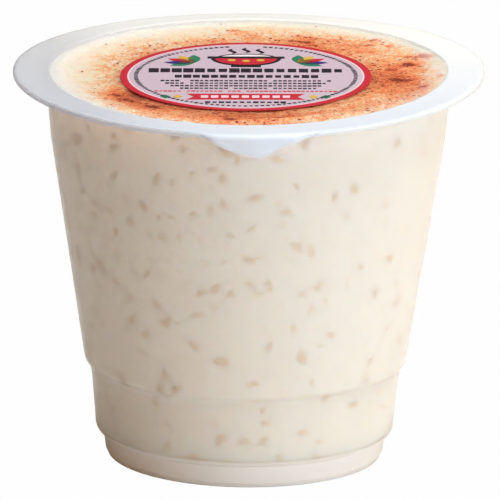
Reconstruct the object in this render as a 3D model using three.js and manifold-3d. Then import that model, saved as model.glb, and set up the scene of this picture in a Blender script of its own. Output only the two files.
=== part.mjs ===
// A single-serving cup of rice pudding: a thin moulded plastic cup with two stacking shoulders and a flat
// flange, the pudding that fills it, a clear film sealed to the flange and drawn down onto the pudding, with
// a pull tab folded over the edge, and a thin oval label on the film.
// Millimetres, +Z up. The cup stands on z = 0, its axis is Z, and the pull tab is at the front, at -Y.
import * as THREE from "three";
import { mergeVertices } from "three/addons/utils/BufferGeometryUtils.js";
import Module from "manifold-3d";

// Driving dimensions.
const SEGMENTS = 64; // round the axis
const ARC_STEPS = 4; // along each rounded corner
const TOUCHING = 0.03; // left between pieces that touch

const FLANGE = { radius: 44, top: 73.7, thickness: 0.8, lip: 0.25 };
const WALL = 0.7;
const FLOOR = 1.0; // a little thicker than the wall
const MOUTH = { radius: 37.9, fillet: 0.6 }; // where the wall meets the flange
const BEND = { radius: 36.85, height: 61.5 }; // above it the wall stands steeper
const UPPER_SHOULDER = { centre: 27.8, height: 19.35, radius: 2.4, wallSlope: 9 };
const TIER = { radius: 28.87 }; // the wall just under the upper shoulder
const LOWER_SHOULDER = { centre: 26.1, height: 6.0, radius: 1.8, wallSlope: 5 };
const FOOT = { topRadius: 26.45, radius: 25.95, bevelHeight: 0.9, ringRadius: 25.5, ringWidth: 0.75 };

const PUDDING_TOP = 72.8;
const FILM = { thickness: 0.1, innerEdge: 35.8, outerEdge: 37.6 }; // the film falls between these radii
// The pull tab: where its outline leaves the film's edge, its tip, the middles of its two sloping sides,
// and how far it stands out from the flange.
const TAB = {
  left: -9.5,
  right: 14.9,
  tip: { x: 1.8, z: 68.7, round: 1.0 },
  leftSide: { x: -4.1, z: 71.0 },
  rightSide: { x: 6.5, z: 71.4 },
  shoulderZ: 72.9,
  reach: 0.9,
  bend: 1.0,
};
const LABEL = { x: -0.55, y: -2.4, halfWidth: 23.45, halfDepth: 25.1, thickness: 0.1 };

const COLOURS = {
  cup: { color: 0xe9e9ec, roughness: 0.45, metalness: 0 },
  pudding: { color: 0xf1dfc4, roughness: 0.55, metalness: 0 },
  film: { color: 0xf4f4f6, roughness: 0.15, metalness: 0 },
  label: { color: 0xcdbccd, roughness: 0.5, metalness: 0 },
};

const radians = THREE.MathUtils.degToRad;
const point = (radius, height) => new THREE.Vector2(radius, height);

// Points along an arc in the (radius, height) half-plane, angles in degrees from the outward direction.
function arc(centre, height, radius, from, to) {
  const points = [];
  for (let i = 0; i <= ARC_STEPS; i++) {
    const angle = radians(from + ((to - from) * i) / ARC_STEPS);
    points.push(point(centre + radius * Math.cos(angle), height + radius * Math.sin(angle)));
  }
  return points;
}

// A profile turned round +Z.
function turned(profile) {
  return new THREE.LatheGeometry(profile, SEGMENTS).rotateX(Math.PI / 2);
}

// The angle below the outward direction at which a shoulder's arc meets the narrower wall under it.
function shoulderEnd(shoulder, radiusBelow, inset) {
  const across = (radiusBelow - inset - shoulder.centre) / (shoulder.radius - inset);
  return -THREE.MathUtils.radToDeg(Math.acos(across));
}

// The cup wall's line from the lower shoulder up to a height near the mouth, set in from its outer face.
function wallLine(inset, lowerEnd, topHeight) {
  const up = UPPER_SHOULDER;
  const low = LOWER_SHOULDER;
  const slope = (MOUTH.radius - BEND.radius) / (FLANGE.top - BEND.height);
  return [
    ...arc(low.centre, low.height, low.radius - inset, lowerEnd, -low.wallSlope),
    ...arc(
      up.centre,
      up.height,
      up.radius - inset,
      shoulderEnd(up, TIER.radius, inset),
      -up.wallSlope,
    ),
    point(BEND.radius - inset, BEND.height),
    point(BEND.radius - inset + slope * (topHeight - BEND.height), topHeight),
  ];
}

// Both faces of the cup in one closed outline that starts and ends on the axis.
function cupProfile() {
  const floorTop = LOWER_SHOULDER.height - LOWER_SHOULDER.radius + WALL;
  const floorUnder = floorTop - FLOOR;
  const underFlange = FLANGE.top - FLANGE.thickness;
  const ringInner = FOOT.ringRadius - FOOT.ringWidth;
  const footEnd = shoulderEnd(LOWER_SHOULDER, FOOT.topRadius, 0);
  const outer = wallLine(0, footEnd, underFlange - MOUTH.fillet);
  const inner = wallLine(WALL, -90, FLANGE.top - MOUTH.fillet);
  const outerTop = outer[outer.length - 1];
  const innerTop = inner[inner.length - 1];
  return [
    point(0, floorUnder),
    point(FOOT.topRadius - WALL, floorUnder),
    point(ringInner, 0),
    point(FOOT.ringRadius, 0),
    point(FOOT.radius, FOOT.bevelHeight),
    ...outer.slice(0, -1),
    ...arc(outerTop.x + MOUTH.fillet, outerTop.y, MOUTH.fillet, 180, 90),
    point(FLANGE.radius - FLANGE.lip, underFlange),
    point(FLANGE.radius, underFlange + FLANGE.lip),
    point(FLANGE.radius, FLANGE.top - FLANGE.lip),
    point(FLANGE.radius - FLANGE.lip, FLANGE.top),
    ...arc(innerTop.x + MOUTH.fillet, innerTop.y, MOUTH.fillet, 90, 180),
    ...inner.slice(0, -1).reverse(),
    point(0, floorTop),
  ];
}

// The pudding fills the cup up to its level.
function puddingProfile() {
  const inset = WALL + TOUCHING;
  const side = wallLine(inset, -90, PUDDING_TOP);
  return [point(0, side[0].y), ...side, point(0, PUDDING_TOP)];
}

// The height of the film's underside: flat on the flange, a soft step down, flat on the pudding.
function filmUnderside(radius) {
  const onPudding = PUDDING_TOP + TOUCHING;
  const onFlange = FLANGE.top + TOUCHING;
  const rise = THREE.MathUtils.smoothstep(radius, FILM.innerEdge, FILM.outerEdge);
  return onPudding + (onFlange - onPudding) * rise;
}

function filmDiscProfile() {
  const radii = [0];
  for (let i = 0; i <= ARC_STEPS; i++) {
    radii.push(FILM.innerEdge + ((FILM.outerEdge - FILM.innerEdge) * i) / ARC_STEPS);
  }
  radii.push(FLANGE.radius);
  const under = radii.map((r) => point(r, filmUnderside(r)));
  const over = radii.map((r) => point(r, filmUnderside(r) + FILM.thickness)).reverse();
  return [...under, ...over];
}

// A thin skirt that leaves the film's edge and turns down: the tab is cut from it.
function skirtProfile() {
  const underside = FLANGE.top + TOUCHING;
  const bendCentre = FLANGE.radius + TAB.reach - TAB.bend;
  const bendHeight = underside - TAB.bend + FILM.thickness;
  const bottom = TAB.tip.z - TAB.bend;
  return [
    point(bendCentre - TAB.bend, underside),
    ...arc(bendCentre, bendHeight, TAB.bend - FILM.thickness, 90, 0),
    point(FLANGE.radius + TAB.reach - FILM.thickness, bottom),
    point(FLANGE.radius + TAB.reach, bottom),
    ...arc(bendCentre, bendHeight, TAB.bend, 0, 90),
    point(bendCentre - TAB.bend, underside + FILM.thickness),
    point(bendCentre - TAB.bend, underside),
  ];
}

// The tab's outline seen from the front, extruded through the front half of the skirt.
function tabCutter() {
  const { left, right, tip, leftSide, rightSide, shoulderZ } = TAB;
  const above = FLANGE.top + 2;
  const outline = new THREE.Shape();
  outline.moveTo(left, above);
  outline.lineTo(left, FLANGE.top);
  outline.quadraticCurveTo(left + tip.round, shoulderZ, leftSide.x, leftSide.z);
  outline.lineTo(tip.x - tip.round, tip.z + tip.round / 2);
  outline.quadraticCurveTo(tip.x, tip.z, tip.x + tip.round, tip.z + tip.round / 2);
  outline.lineTo(rightSide.x, rightSide.z);
  outline.quadraticCurveTo((rightSide.x + right) / 2, shoulderZ, right, FLANGE.top);
  outline.lineTo(right, above);
  outline.closePath();
  return new THREE.ExtrudeGeometry(outline, {
    depth: FLANGE.radius + TAB.reach + TAB.bend,
    bevelEnabled: false,
    curveSegments: ARC_STEPS,
  }).rotateX(Math.PI / 2);
}

const wasm = await Module();
wasm.setup();

function solidOf(geometry) {
  const bare = new THREE.BufferGeometry().setAttribute("position", geometry.getAttribute("position"));
  bare.setIndex(geometry.index);
  const merged = mergeVertices(bare, 1e-4);
  const vertProperties = merged.getAttribute("position").array;
  const triVerts = new Uint32Array(merged.index.array);
  return new wasm.Manifold(new wasm.Mesh({ numProp: 3, vertProperties, triVerts }));
}

function geometryOf(solid) {
  const { vertProperties, triVerts } = solid.getMesh();
  const geometry = new THREE.BufferGeometry();
  geometry.setAttribute("position", new THREE.BufferAttribute(vertProperties, 3));
  geometry.setIndex(new THREE.BufferAttribute(triVerts, 1));
  geometry.computeVertexNormals();
  return geometry;
}

function filmGeometry() {
  const tab = solidOf(turned(skirtProfile())).intersect(solidOf(tabCutter()));
  return geometryOf(solidOf(turned(filmDiscProfile())).add(tab));
}

function labelGeometry() {
  const outline = new THREE.Shape();
  outline.absellipse(LABEL.x, LABEL.y, LABEL.halfWidth, LABEL.halfDepth, 0, 2 * Math.PI, false);
  const label = new THREE.ExtrudeGeometry(outline, {
    depth: LABEL.thickness,
    bevelEnabled: false,
    curveSegments: SEGMENTS / 2,
  });
  return label.translate(0, 0, filmUnderside(0) + FILM.thickness + TOUCHING);
}

function piece(name, geometry, finish) {
  const mesh = new THREE.Mesh(geometry, new THREE.MeshStandardMaterial(finish));
  mesh.name = name;
  return mesh;
}

const group = new THREE.Group();
group.add(piece("cup", turned(cupProfile()), COLOURS.cup));
group.add(piece("pudding", turned(puddingProfile()), COLOURS.pudding));
group.add(piece("film_lid", filmGeometry(), COLOURS.film));
group.add(piece("label", labelGeometry(), COLOURS.label));

export default group;
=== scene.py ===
import math

import bmesh
import bpy
import numpy as np
from mathutils import Matrix, Vector


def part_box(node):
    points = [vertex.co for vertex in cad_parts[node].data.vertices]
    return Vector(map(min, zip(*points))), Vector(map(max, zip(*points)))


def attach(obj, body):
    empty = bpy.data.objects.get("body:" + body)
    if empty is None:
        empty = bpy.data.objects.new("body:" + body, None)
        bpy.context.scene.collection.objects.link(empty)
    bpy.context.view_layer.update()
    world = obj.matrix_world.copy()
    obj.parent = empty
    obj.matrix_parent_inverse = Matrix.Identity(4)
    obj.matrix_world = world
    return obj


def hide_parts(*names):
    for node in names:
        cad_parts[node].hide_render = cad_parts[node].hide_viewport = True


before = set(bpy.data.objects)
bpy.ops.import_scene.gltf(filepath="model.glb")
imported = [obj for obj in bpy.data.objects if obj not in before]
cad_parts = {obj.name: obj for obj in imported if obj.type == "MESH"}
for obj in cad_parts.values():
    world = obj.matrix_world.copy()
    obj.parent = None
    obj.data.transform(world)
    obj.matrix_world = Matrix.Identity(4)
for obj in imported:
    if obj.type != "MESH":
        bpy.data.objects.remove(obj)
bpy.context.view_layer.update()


# --- Cup -------------------------------------------------------------------------------------------
# A single-serving cup, vacuum formed from one sheet of frosted polypropylene: a flat flange, a tapered
# wall, two stacking shoulders and a narrow foot ring round a raised floor. Sizes are those of the CAD.
MM = 0.001
FLANGE_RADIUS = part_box("cup")[1].x
FLANGE_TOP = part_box("cup")[1].z
FLANGE_THICKNESS = 0.8 * MM
LIP = 0.25 * MM                   # rounding of the flange's edge
WALL = 0.7 * MM
FLOOR = 1.0 * MM
MOUTH_RADIUS = 37.9 * MM
MOUTH_FILLET = 0.6 * MM
BEND_RADIUS, BEND_HEIGHT = 36.85 * MM, 61.5 * MM
# The shoulders' roundings: slope is the wall's over it, in degrees, and below is the lower wall's radius.
UPPER = {"centre": 27.8 * MM, "height": 19.35 * MM, "radius": 2.4 * MM, "slope": 9, "below": 28.87 * MM}
LOWER = {"centre": 26.1 * MM, "height": 6.0 * MM, "radius": 1.8 * MM, "slope": 5, "below": 26.45 * MM}
FOOT_RADIUS = 25.95 * MM
FOOT_BEVEL = 0.9 * MM
RING_RADIUS = 25.5 * MM
RING_WIDTH = 0.75 * MM
ROUND_STEPS = 224                 # round the axis


def arc(centre, height, radius, start, end, steps=8):
    """Points along an arc in the (radius, height) half-plane, angles in degrees from straight out."""
    turns = [math.radians(start + (end - start) * i / steps) for i in range(steps + 1)]
    return [(centre + radius * math.cos(t), height + radius * math.sin(t)) for t in turns]


def straight(start, end, steps=6):
    """Points between two ends, closer together near them, so that smooth shading stays true there."""
    shares = [0.5 - 0.5 * math.cos(math.pi * i / steps) for i in range(1, steps)]
    return [tuple(a + (b - a) * s for a, b in zip(start, end)) for s in shares]


def eased(start, corner, end):
    """A soft curve from one end to the other in place of the corner between them."""
    shares = [i / 8 for i in range(9)]
    return [tuple((1 - t) ** 2 * a + 2 * t * (1 - t) * b + t * t * c for a, b, c in zip(start, corner, end))
            for t in shares]


def shoulder(which, inset, start):
    """A shoulder's rounding, from where it leaves the narrower wall under it up to the wall above."""
    return arc(which["centre"], which["height"], which["radius"] - inset, start, -which["slope"])


def shoulder_start(which, inset):
    """The direction, in degrees from straight out, in which a shoulder's rounding meets the wall under it."""
    across = (which["below"] - inset - which["centre"]) / (which["radius"] - inset)
    return -math.degrees(math.acos(across))


def wall_line(inset, lower_start, top):
    """The wall's outline, set in from its outer face, from the lower shoulder to a height near the mouth."""
    slope = (MOUTH_RADIUS - BEND_RADIUS) / (FLANGE_TOP - BEND_HEIGHT)
    low = shoulder(LOWER, inset, lower_start)
    high = shoulder(UPPER, inset, shoulder_start(UPPER, inset))
    bend = (BEND_RADIUS - inset, BEND_HEIGHT)
    end = (BEND_RADIUS - inset + slope * (top - BEND_HEIGHT), top)
    below = straight(low[-1], high[0], 12)
    crease = eased(below[-4], high[0], high[4])
    return [*low, *below[:-4], *crease, *high[5:], *straight(high[-1], bend, 12), bend,
            *straight(bend, end, 8), end]


def cup_outline():
    floor_top = LOWER["height"] - LOWER["radius"] + WALL
    floor_under = floor_top - FLOOR
    under_flange = FLANGE_TOP - FLANGE_THICKNESS
    outer = wall_line(0, shoulder_start(LOWER, 0), under_flange - MOUTH_FILLET)
    inner = wall_line(WALL, -90, FLANGE_TOP - MOUTH_FILLET)
    outer_fillet = arc(outer[-1][0] + MOUTH_FILLET, outer[-1][1], MOUTH_FILLET, 180, 90)
    inner_fillet = arc(inner[-1][0] + MOUTH_FILLET, inner[-1][1], MOUTH_FILLET, 90, 180)
    lip_centre = FLANGE_RADIUS - LIP
    lip = [*arc(lip_centre, under_flange + LIP, LIP, -90, 0, 4),
           *arc(lip_centre, FLANGE_TOP - LIP, LIP, 0, 90, 4)]
    recess = (LOWER["below"] - WALL, floor_under)
    ring_inside = (RING_RADIUS - RING_WIDTH, 0)
    ring_outside = (RING_RADIUS, 0)
    bevel = (FOOT_RADIUS, FOOT_BEVEL)
    return [(0, floor_under), *straight((0, floor_under), recess), recess, *straight(recess, ring_inside),
            ring_inside, ring_outside, *straight(ring_outside, bevel, 4), bevel, *straight(bevel, outer[0]),
            *outer[:-1], *outer_fillet, *straight(outer_fillet[-1], lip[0], 12), *lip,
            *straight(lip[-1], inner_fillet[0], 12), *inner_fillet, *inner[:-1][::-1],
            *straight(inner[0], (0, floor_top), 10), (0, floor_top)]


def put(tree, kind, inputs=(), **settings):
    """Adds a node. inputs gives a socket, by its name or number, a value or another node's output."""
    node = tree.nodes.new(kind)
    for name, value in settings.items():
        setattr(node, name, value)
    for key, value in dict(inputs).items():
        if isinstance(value, bpy.types.NodeSocket):
            tree.links.new(value, node.inputs[key])
        else:
            node.inputs[key].default_value = value
    return node


def maths(tree, operation, *values):
    """The result of a Math node, for Geometry Nodes and for shaders."""
    return put(tree, "ShaderNodeMath", enumerate(values), operation=operation).outputs[0]


def times(tree, product, *more):
    """All the values multiplied."""
    for value in more:
        product = maths(tree, "MULTIPLY", product, value)
    return product


def vector_maths(tree, operation, *vectors, output="Vector"):
    """The result of a Vector Math node, which for a length or a distance is its output Value."""
    return put(tree, "ShaderNodeVectorMath", enumerate(vectors), operation=operation).outputs[output]


def scaled(tree, vector, factor):
    return put(tree, "ShaderNodeVectorMath", {0: vector, "Scale": factor}, operation="SCALE").outputs[0]


def split(tree, vector):
    """A vector's x, y and z."""
    return put(tree, "ShaderNodeSeparateXYZ", {0: vector}).outputs


def joined(tree, x=0.0, y=0.0, z=0.0):
    return put(tree, "ShaderNodeCombineXYZ", {"X": x, "Y": y, "Z": z}).outputs[0]


def position(tree):
    return put(tree, "GeometryNodeInputPosition").outputs[0]


def moved(tree, geometry, **place):
    """Geometry with its points at a Position or moved by an Offset."""
    return put(tree, "GeometryNodeSetPosition", {"Geometry": geometry, **place}).outputs[0]


def new_tree(name, **sizes):
    """A Geometry Nodes tree with a geometry going in and out and the named inputs, and its input node."""
    tree = bpy.data.node_groups.new(name, "GeometryNodeTree")
    tree.interface.new_socket("Geometry", in_out="INPUT", socket_type="NodeSocketGeometry")
    for label, kind in sizes.items():
        tree.interface.new_socket(label, in_out="INPUT", socket_type="NodeSocket" + kind)
    tree.interface.new_socket("Geometry", in_out="OUTPUT", socket_type="NodeSocketGeometry")
    return tree, tree.nodes.new("NodeGroupInput").outputs


def end_tree(tree, geometry, material):
    """Ends a tree in real meshes with a material."""
    real = put(tree, "GeometryNodeRealizeInstances", {"Geometry": geometry}).outputs[0]
    dressed = put(tree, "GeometryNodeSetMaterial", {"Geometry": real, "Material": material}).outputs[0]
    put(tree, "NodeGroupOutput", {0: dressed})
    return tree


def grown(name, start, tree, **sizes):
    """A new object with the mesh that a Geometry Nodes tree makes from a start mesh."""
    seed = bpy.data.objects.new(name + "_start", start)
    bpy.context.collection.objects.link(seed)
    modifier = seed.modifiers.new("nodes", "NODES")
    modifier.node_group = tree
    for item in tree.interface.items_tree:
        if item.in_out == "INPUT" and item.name in sizes:
            modifier[item.identifier] = sizes[item.name]
    graph = bpy.context.evaluated_depsgraph_get()
    mesh = bpy.data.meshes.new_from_object(seed.evaluated_get(graph), depsgraph=graph)
    bpy.data.objects.remove(seed)
    piece = bpy.data.objects.new(name, mesh)
    bpy.context.collection.objects.link(piece)
    return piece


def turning_tree():
    """Turns an outline, given as the points (radius, 0, height), round +Z into a closed shape."""
    tree, given = new_tree("turned_outline", Steps="Int", Material="Material")
    outline = given["Geometry"]
    size = put(tree, "GeometryNodeAttributeDomainSize", {0: outline}).outputs["Point Count"]
    columns = maths(tree, "ADD", given["Steps"], 1)
    grid = put(tree, "GeometryNodeMeshGrid", {"Vertices X": columns, "Vertices Y": size}).outputs[0]
    index = put(tree, "GeometryNodeInputIndex").outputs[0]
    column = maths(tree, "FLOOR", maths(tree, "DIVIDE", maths(tree, "ADD", index, 0.5), size))
    row = maths(tree, "SUBTRACT", index, times(tree, column, size))
    point = put(tree, "GeometryNodeSampleIndex", {"Geometry": outline, "Index": row, "Value": position(tree)},
                data_type="FLOAT_VECTOR", domain="POINT").outputs[0]
    radius, _, height = split(tree, point)
    turn = times(tree, maths(tree, "DIVIDE", column, given["Steps"]), 2 * math.pi)
    x = times(tree, radius, maths(tree, "COSINE", turn))
    y = times(tree, radius, maths(tree, "SINE", turn))
    round_axis = moved(tree, grid, Position=joined(tree, x, y, height))
    closed = put(tree, "GeometryNodeMergeByDistance", {"Geometry": round_axis, "Distance": 1e-4 * MM})
    return end_tree(tree, closed.outputs[0], given["Material"])


TURNING = turning_tree()


def faces_out(mesh):
    """Turns a closed mesh's faces outwards and shades them smooth."""
    work = bmesh.new()
    work.from_mesh(mesh)
    bmesh.ops.recalc_face_normals(work, faces=work.faces)
    work.to_mesh(mesh)
    work.free()
    mesh.shade_smooth()


def turned(name, outline, material, steps=ROUND_STEPS):
    """A closed piece turned from its (radius, height) outline, smooth, with its faces outwards."""
    start = bpy.data.meshes.new(name + "_outline")
    start.from_pydata([(r, 0, z) for r, z in outline], [], [])
    piece = grown(name, start, TURNING, Steps=steps, Material=material)
    faces_out(piece.data)
    return piece


def places(mesh):
    """Arrays of x, y and z of a mesh's vertices."""
    co = np.empty(len(mesh.vertices) * 3, np.float32)
    mesh.vertices.foreach_get("co", co)
    return co.reshape(-1, 3).T.astype(float)


def set_places(mesh, x, y, z):
    mesh.vertices.foreach_set("co", np.stack([x, y, z], 1).astype(np.float32).ravel())
    mesh.update()


def mark(mesh, **marks):
    """Gives a mesh's vertices named numbers, for its material to read."""
    for name, values in marks.items():
        mesh.attributes.new(name, "FLOAT", "POINT").data.foreach_set("value", values.astype(np.float32))


def smoothstep(value, low, high):
    """0 up to low, 1 from high on, and a soft step between them."""
    share = np.clip((value - low) / (high - low), 0, 1)
    return share * share * (3 - 2 * share)


# The thin cup has set a little out of true: its mouth rises to the right and sags at the front, and its
# flange sags at the back. The film, drawn up to the flange, drew the pudding's edge up too.
LEAN = 0.0105                     # the mouth's slope up to the right
LEANING = 40 * MM, 70 * MM        # the lean comes in between these heights
MOUTH_SAG = 1.1 * MM
MOUTH_PART = 33.5 * MM, 37.5 * MM     # the sag comes in between these radii
BACK_SAG, SIDE_LIFT = 0.5 * MM, 0.1 * MM      # of the flange, outside this radius
FLANGE_START = 37.6 * MM
NEAR_TOP = 66 * MM, 72 * MM       # mouth and flange move between these heights
DRAWN_UP = 0.72 * MM              # at most
DRAWN_FROM, DRAWN_WIDTH = 28 * MM, 8 * MM     # from this radius, and wholly this much further out
DRAWN_END = 1.8 * MM              # it comes down again over the last of its width
DRAWN_PART = 71.5 * MM, 72.4 * MM     # it comes in between these heights


def out_of_true(mesh, drawn_out_to=0):
    """Lets a piece lean and sag with the cup, and draws its top up as far out as a radius if it has one."""
    x, y, z = places(mesh)
    radius = np.hypot(x, y)
    to_front = -y / np.maximum(radius, 1e-6 * MM)
    near_top = smoothstep(z, *NEAR_TOP)
    flange_bend = SIDE_LIFT * (1 - to_front ** 2) - BACK_SAG * to_front ** 2 * (1 - to_front) / 2
    rise = flange_bend * smoothstep(radius, FLANGE_START, FLANGE_RADIUS) * near_top
    rise -= MOUTH_SAG * np.clip(to_front, 0, 1) ** 1.6 * smoothstep(radius, *MOUTH_PART) * near_top
    if drawn_out_to:
        dished = np.clip((radius - DRAWN_FROM) / DRAWN_WIDTH, 0, 1) ** 2
        dished *= 1 - smoothstep(radius, drawn_out_to - DRAWN_END, drawn_out_to)
        rise += DRAWN_UP * dished * smoothstep(z, *DRAWN_PART)
    set_places(mesh, x, y, z + LEAN * x * smoothstep(z, *LEANING) + rise)


def new_material(name):
    """A material, its tree, and the place on the object that its patterns follow."""
    material = bpy.data.materials.new(name)
    material.use_nodes = True
    tree = material.node_tree
    tree.nodes.clear()
    return material, tree, put(tree, "ShaderNodeTexCoord").outputs["Object"]


def end_material(tree, shader):
    put(tree, "ShaderNodeOutputMaterial", {"Surface": shader})


def principled(tree, inputs):
    return put(tree, "ShaderNodeBsdfPrincipled", inputs).outputs[0]


def transparent(tree):
    return put(tree, "ShaderNodeBsdfTransparent", {"Color": (1, 1, 1, 1)}).outputs[0]


def mix_shaders(tree, share, first, second):
    return put(tree, "ShaderNodeMixShader", {0: share, 1: first, 2: second}).outputs[0]


def mix_colours(tree, share, first, second):
    """A Mix node's colour sockets are its inputs 6 and 7 and its output 2."""
    return put(tree, "ShaderNodeMix", {0: share, 6: first, 7: second}, data_type="RGBA").outputs[2]


def marked(tree, name, output="Fac"):
    """What a mesh's vertices are marked with."""
    return put(tree, "ShaderNodeAttribute", attribute_name=name).outputs[output]


def remap(tree, value, low, high, to_low=0.0, to_high=1.0, course="LINEAR"):
    """Goes from to_low to to_high while value goes from low to high, and no further."""
    ends = {"Value": value, "From Min": low, "From Max": high, "To Min": to_low, "To Max": to_high}
    return put(tree, "ShaderNodeMapRange", ends, interpolation_type=course).outputs[0]


def noise(tree, where, scale, detail=3.0, rough=0.55, stretch=(1, 1, 1)):
    """Noise on a position in metres: scale is its waves per metre, and stretch squeezes it along an axis."""
    mapped = vector_maths(tree, "MULTIPLY", where, stretch)
    settings = {"Vector": mapped, "Scale": scale, "Detail": detail, "Roughness": rough}
    return put(tree, "ShaderNodeTexNoise", settings).outputs["Fac"]


def bumps(tree, height, strength, distance):
    settings = {"Strength": strength, "Distance": distance, "Height": height}
    return put(tree, "ShaderNodeBump", settings).outputs[0]


def edge_on(tree, normal):
    """From 0 where a face is seen straight on to 1 where it is seen edge on."""
    return put(tree, "ShaderNodeLayerWeight", {"Blend": 0.5, "Normal": normal}).outputs["Facing"]


def frosted_plastic():
    """Milky polypropylene with a satin face. It shows the pudding that touches it and hides all else."""
    material, tree, where = new_material("frosted_plastic")
    flow = noise(tree, where, 160, stretch=(1, 1, 0.12))
    bump = bumps(tree, flow, 0.12, 0.05 * MM)
    milk = marked(tree, "tint", "Color")
    face = principled(tree, {"Base Color": milk, "Roughness": remap(tree, flow, 0.0, 1.0, 0.32, 0.44),
                             "Normal": bump, "IOR": 1.49})
    through = put(tree, "ShaderNodeBsdfTranslucent", {"Color": milk, "Normal": bump}).outputs[0]
    body = mix_shaders(tree, marked(tree, "through"), face, through)
    outwards = put(tree, "ShaderNodeNewGeometry").outputs["Normal"]
    level = vector_maths(tree, "NORMALIZE", vector_maths(tree, "MULTIPLY", outwards, (1, 1, 0)))
    side_on = maths(tree, "POWER", edge_on(tree, level), 2.5)
    on_pudding = remap(tree, side_on, 0.0, 1.0, 0.42, 0.75)
    touching, milkiness = marked(tree, "touching"), marked(tree, "milkiness")
    haze = put(tree, "ShaderNodeMix", {0: touching, 2: milkiness, 3: on_pudding}).outputs[0]
    end_material(tree, mix_shaders(tree, haze, transparent(tree), body))
    return material


# How each part looks: how milky it is, 1 for opaque, what share of its light goes through, and its tint. The
# flange and the foot are hazed on their outer faces only. The flange's tint is painted shade, grey, on its
# left and painted light, white, on its right. The foot's cream tint is a painted glow of the pudding's light
# over it.
WALL_LOOK = 0.0, 0.25, 0.90, 0.90, 0.915, 1
# The flange's left, grey as painted shade.
LEFT_FLANGE_PAINTED_SHADE = 0.92, 0.6, 0.69, 0.69, 0.76, 1
RIGHT_FLANGE_PAINTED_LIGHT = 0.92, 0.6, 0.91, 0.91, 0.92, 1     # of the flange's right half, white as painted light
PAINTED_LIGHT_SPAN = -36 * MM, 6 * MM      # painted light and shade: it gets whiter between these places, from left to right
FOOT_PAINTED_GLOW = 0.94, 0.15, 0.93, 0.87, 0.82, 1
UNDERSIDE_LOOK = 0.3, 0.6, 0.90, 0.88, 0.86, 1
FOOT_TOP, RECESS_TOP = 5.6 * MM, 4.0 * MM
PUDDING_STARTS = 4.9 * MM, FOOT_TOP       # it comes to touch the wall between these heights
PUDDING_ENDS = 72.2 * MM, 72.9 * MM       # and leaves it between these


def rightwards(x, y):
    """How far to the right a place on the flange is, on a line that turns a little towards the back."""
    return x + 0.12 * y + 0.14 * np.maximum(y, 0)


def mark_plastic(mesh):
    """Marks where the pudding touches the wall from inside, and each part's look, with painted light in its
    tint.
    """
    x, y, z = places(mesh)
    radius = np.hypot(x, y)
    under_flange = (radius > MOUTH_RADIUS + MOUTH_FILLET) & (radius < FLANGE_RADIUS - 0.9 * LIP)
    under_flange &= z < FLANGE_TOP - FLANGE_THICKNESS / 2
    under_floor = (z < RECESS_TOP) & (radius < RING_RADIUS - 0.1 * MM)
    looks = np.tile(WALL_LOOK, (len(z), 1))
    flange = z > PUDDING_ENDS[0]
    # Painted shade and light: the flange's tint goes from grey on its left to white on its right.
    painted_light_to_right = smoothstep(rightwards(x, y), *PAINTED_LIGHT_SPAN)[flange, None]
    looks[flange] = LEFT_FLANGE_PAINTED_SHADE + np.subtract(RIGHT_FLANGE_PAINTED_LIGHT, LEFT_FLANGE_PAINTED_SHADE) * painted_light_to_right
    # The foot's cream tint is a painted glow of the pudding's light over it.
    looks[z < FOOT_TOP] = FOOT_PAINTED_GLOW
    looks[under_flange | under_floor] = UNDERSIDE_LOOK
    mark(mesh, touching=smoothstep(z, *PUDDING_STARTS) * (1 - smoothstep(z, *PUDDING_ENDS)),
         milkiness=looks[:, 0], through=looks[:, 1])
    tint = mesh.attributes.new("tint", "FLOAT_COLOR", "POINT")
    tint.data.foreach_set("color", looks[:, 2:].astype(np.float32).ravel())


cup = turned("cup_shell", cup_outline(), frosted_plastic())
mark_plastic(cup.data)
out_of_true(cup.data)
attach(cup, "root")
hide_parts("cup")


# --- Pudding ---------------------------------------------------------------------------------------
# Set milk pudding, poured into the cup up to just under the flange: one soft mass, cream coloured, that
# reaches just into the wall. Its top is gently uneven and stained by the cinnamon strewn on it.
REACH = 0.25 * MM                 # into the wall and the floor
PUDDING_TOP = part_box("pudding")[1].z
PUDDING_EDGE = 0.2 * MM           # rounding of its top's edge
TOP_DIP = 0.22 * MM               # the deepest hollow in its top
TOP_SKIN = 0.4 * MM               # what is less than this below the top is stained
TOP_RINGS, TOP_STEPS = 88, 256
CREAM, DEEPER_CREAM = (0.785, 0.695, 0.56, 1), (0.775, 0.675, 0.53, 1)
PAINTED_HIGHLIGHT_CREAM = (0.865, 0.75, 0.67, 1)       # painted highlight: paler cream on the top by the wall on the left
HIGHLIGHT_OUT, HIGHLIGHT_LEFT = (30 * MM, 36.5 * MM), (-6 * MM, 24 * MM)    # it comes in outwards and to the left
PAINTED_GLOW_CREAM = (0.90, 0.76, 0.585, 1)       # painted glow: warmer, lighter cream on the side under the flange on the left
GLOW_UP, GLOW_LEFT = (58 * MM, 71 * MM), (-14 * MM, 24 * MM)      # it comes in upwards and to the left
GRIT_CONTRAST = 4.5               # of the stain's fine grains
# How the cinnamon was strewn: direction from the front to the right in degrees, how thickly it lies there,
# and how far from the axis, in millimetres, it has thinned to half.
STREWN = [(0, 0.88, 38), (30, 0.75, 36), (60, 0.80, 37.5), (90, 0.92, 31.6), (120, 0.60, 33),
          (150, 0.80, 30.5), (180, 0.60, 30), (210, 0.50, 28.7), (240, 0.40, 28.8), (270, 0.28, 27.5),
          (287, 0.5, 28), (302, 0.95, 31.5), (328, 1.0, 35)]
THINNING = 1.6                    # how softly it thins, in millimetres
DUST, DUST_REACH, DUST_THINNING = 0.05, 35.5, 0.4
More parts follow.
